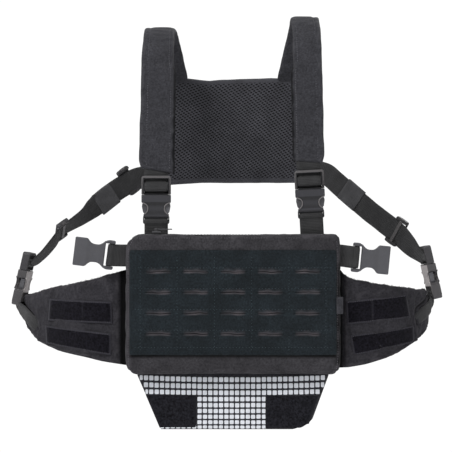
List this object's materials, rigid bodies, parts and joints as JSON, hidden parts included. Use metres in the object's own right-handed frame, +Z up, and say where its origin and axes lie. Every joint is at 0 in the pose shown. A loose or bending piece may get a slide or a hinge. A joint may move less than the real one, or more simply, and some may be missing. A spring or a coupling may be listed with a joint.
{
  "type": "chest harness vest",
  "caption": "Chest harness vest: zipped slotted front pouch with hook-and-loop side wings and a drop flap, padded shoulder straps to a mesh back panel, and buckled side straps.",
  "frame": {"origin": "midway between the places where the two pads rest on the shoulders, at the pads' underside", "axes": "+Z up, front faces -Y, the wearer's left is +X"},
  "size_m": [0.4639, 0.192, 0.4425],
  "materials": {
    "pouch_cloth": "matt woven nylon",
    "laminate": "laser-cut laminated nylon",
    "lining": "matt woven nylon",
    "mesh": "knitted spacer mesh",
    "foam": "closed-cell foam",
    "pad_cloth": "fine woven nylon",
    "webbing": "woven nylon webbing",
    "loop": "loop pile",
    "hook": "moulded hook tape",
    "tile": "matt raised squares",
    "buckle_plastic": "semi-matt moulded acetal",
    "prong_plastic": "semi-matt moulded acetal",
    "zip_metal": "blackened, satin",
    "elastic": "woven elastic",
    "tag_cloth": "plain folded tape"
  },
  "bodies": {
    "harness": {"pouch_shell": "pouch_cloth", "pouch_back_panel": "lining", "slot_panel": "laminate", "zip_tape": "webbing", "zip_chain": "prong_plastic", "side_tag": "tag_cloth", "back_mesh": "mesh", "back_foam": "foam", "back_cover": "pad_cloth", "pad_cover_right": "pad_cloth", "pad_foam_right": "foam", "shoulder_strap_right": "webbing", "shoulder_plug_right": "buckle_plastic", "shoulder_socket_right": "buckle_plastic", "pouch_stub_right": "webbing", "side_strap_right": "webbing", "pad_cover_left": "pad_cloth", "pad_foam_left": "foam", "shoulder_strap_left": "webbing", "shoulder_plug_left": "buckle_plastic", "shoulder_socket_left": "buckle_plastic", "pouch_stub_left": "webbing", "side_strap_left": "webbing"},
    "flap": {"flap_base": "lining", "flap_tiles": "tile", "flap_hook_patches": "hook"},
    "zip_slider": {"zip_slider": "zip_metal"},
    "zip_pull": {"zip_pull": "zip_metal"},
    "rear_tri_glide_right": {"rear_tri_glide_right": "buckle_plastic"},
    "wing_right": {"wing_cover_right": "pouch_cloth", "wing_foam_right": "foam", "wing_loop_patches_right": "loop", "wing_tab_right": "webbing", "side_plug_right": "buckle_plastic", "side_socket_right": "buckle_plastic", "buckle_strap_right": "webbing"},
    "shoulder_prong_inner_right": {"shoulder_prong_inner_right": "prong_plastic"},
    "shoulder_prong_outer_right": {"shoulder_prong_outer_right": "prong_plastic"},
    "side_prong_front_right": {"side_prong_front_right": "prong_plastic"},
    "side_prong_rear_right": {"side_prong_rear_right": "prong_plastic"},
    "strap_keeper_right": {"strap_keeper_right": "elastic"},
    "tri_glide_right": {"tri_glide_right": "buckle_plastic"},
    "open_stub_right": {"open_stub_right": "webbing"},
    "open_socket_right": {"open_socket_right": "buckle_plastic"},
    "wing_left": {"wing_cover_left": "pouch_cloth", "wing_foam_left": "foam", "wing_loop_patches_left": "loop", "wing_tab_left": "webbing", "side_plug_left": "buckle_plastic", "side_socket_left": "buckle_plastic", "buckle_strap_left": "webbing"},
    "shoulder_prong_inner_left": {"shoulder_prong_inner_left": "prong_plastic"},
    "shoulder_prong_outer_left": {"shoulder_prong_outer_left": "prong_plastic"},
    "side_prong_front_left": {"side_prong_front_left": "prong_plastic"},
    "side_prong_rear_left": {"side_prong_rear_left": "prong_plastic"},
    "strap_keeper_left": {"strap_keeper_left": "elastic"},
    "tri_glide_left": {"tri_glide_left": "buckle_plastic"},
    "open_stub_left": {"open_stub_left": "webbing"},
    "open_socket_left": {"open_socket_left": "buckle_plastic"}
  },
  "joints": [
    {"name": "flap_fold", "type": "hinge", "parent": "harness", "child": "flap", "pos_m": [0, -0.0805, -0.3716], "axis": [1, 0, 0], "range_deg": [-70, 80]},
    {"name": "zip_slide", "type": "slide", "parent": "harness", "child": "zip_slider", "axis": [1, 0, 0], "range_m": [-0.012, 0.17]},
    {"name": "zip_pull_lift", "type": "hinge", "parent": "zip_slider", "child": "zip_pull", "pos_m": [-0.081, -0.093, -0.2174], "axis": [0, -1, 0], "range_deg": [0, 150]},
    {"name": "wing_right_fold", "type": "hinge", "parent": "harness", "child": "wing_right", "pos_m": [-0.115, -0.08, -0.31], "axis": [0, 0, 1], "range_deg": [-12, 12]},
    {"name": "shoulder_prong_inner_right_squeeze", "type": "hinge", "parent": "harness", "child": "shoulder_prong_inner_right", "pos_m": [-0.071, -0.083, -0.1863], "axis": [0, 1, 0], "range_deg": [0, 6], "stiffness_Nm_per_rad": 0.05},
    {"name": "shoulder_prong_outer_right_squeeze", "type": "hinge", "parent": "harness", "child": "shoulder_prong_outer_right", "pos_m": [-0.091, -0.083, -0.1863], "axis": [0, -1, 0], "range_deg": [0, 6], "stiffness_Nm_per_rad": 0.05},
    {"name": "side_prong_front_right_squeeze", "type": "hinge", "parent": "wing_right", "child": "side_prong_front_right", "pos_m": [-0.22795, 0.004, -0.26766], "axis": [0.9763, 0, -0.2164], "range_deg": [0, 6], "stiffness_Nm_per_rad": 0.05},
    {"name": "side_prong_rear_right_squeeze", "type": "hinge", "parent": "wing_right", "child": "side_prong_rear_right", "pos_m": [-0.22795, 0.024, -0.26766], "axis": [-0.9763, 0, 0.2164], "range_deg": [0, 6], "stiffness_Nm_per_rad": 0.05},
    {"name": "keeper_right_slide", "type": "slide", "parent": "harness", "child": "strap_keeper_right", "axis": [-0.7183, -0.3789, -0.5835], "range_m": [-0.002, 0.006]},
    {"name": "tri_glide_right_slide", "type": "slide", "parent": "harness", "child": "tri_glide_right", "axis": [-0.7144, -0.4489, -0.5368], "range_m": [-0.015, 0.001]},
    {"name": "stub_right_swing", "type": "hinge", "parent": "harness", "child": "open_stub_right", "pos_m": [-0.1135, -0.091, -0.2445], "axis": [0, 0, 1], "range_deg": [0, 60]},
    {"name": "open_socket_right_tilt", "type": "hinge", "parent": "open_stub_right", "child": "open_socket_right", "pos_m": [-0.129, -0.091, -0.2445], "axis": [0, 0, 1], "range_deg": [0, 50]},
    {"name": "wing_left_fold", "type": "hinge", "parent": "harness", "child": "wing_left", "pos_m": [0.115, -0.08, -0.31], "axis": [0, 0, -1], "range_deg": [-12, 12]},
    {"name": "shoulder_prong_inner_left_squeeze", "type": "hinge", "parent": "harness", "child": "shoulder_prong_inner_left", "pos_m": [0.07132, -0.083, -0.18082], "axis": [0, -1, 0], "range_deg": [0, 6], "stiffness_Nm_per_rad": 0.05},
    {"name": "shoulder_prong_outer_left_squeeze", "type": "hinge", "parent": "harness", "child": "shoulder_prong_outer_left", "pos_m": [0.09129, -0.083, -0.17977], "axis": [0, 1, 0], "range_deg": [0, 6], "stiffness_Nm_per_rad": 0.05},
    {"name": "side_prong_front_left_squeeze", "type": "hinge", "parent": "wing_left", "child": "side_prong_front_left", "pos_m": [0.21526, 0.004, -0.26066], "axis": [0.9763, 0, 0.2164], "range_deg": [0, 6], "stiffness_Nm_per_rad": 0.05},
    {"name": "side_prong_rear_left_squeeze", "type": "hinge", "parent": "wing_left", "child": "side_prong_rear_left", "pos_m": [0.21526, 0.024, -0.26066], "axis": [-0.9763, 0, -0.2164], "range_deg": [0, 6], "stiffness_Nm_per_rad": 0.05},
    {"name": "keeper_left_slide", "type": "slide", "parent": "harness", "child": "strap_keeper_left", "axis": [0.6831, -0.3985, -0.612], "range_m": [-0.01, 0.008]},
    {"name": "tri_glide_left_slide", "type": "slide", "parent": "harness", "child": "tri_glide_left", "axis": [0.6947, -0.4565, -0.5558], "range_m": [-0.015, 0.002]},
    {"name": "stub_left_swing", "type": "hinge", "parent": "harness", "child": "open_stub_left", "pos_m": [0.1135, -0.091, -0.2445], "axis": [0, 0, -1], "range_deg": [0, 60]},
    {"name": "open_socket_left_tilt", "type": "hinge", "parent": "open_stub_left", "child": "open_socket_left", "pos_m": [0.129, -0.091, -0.2445], "axis": [0, 0, -1], "range_deg": [0, 50]},
    {"name": "rear_tri_glide_right_slide", "type": "slide", "parent": "harness", "child": "rear_tri_glide_right", "axis": [-0.7183, -0.3789, -0.5835], "range_m": [-0.003, 0.002]}
  ],
  "couplings": [
    {"joint": "shoulder_prong_outer_right_squeeze", "follows": "shoulder_prong_inner_right_squeeze", "ratio": 1},
    {"joint": "side_prong_rear_right_squeeze", "follows": "side_prong_front_right_squeeze", "ratio": 1},
    {"joint": "shoulder_prong_outer_left_squeeze", "follows": "shoulder_prong_inner_left_squeeze", "ratio": 1},
    {"joint": "side_prong_rear_left_squeeze", "follows": "side_prong_front_left_squeeze", "ratio": 1}
  ]
}
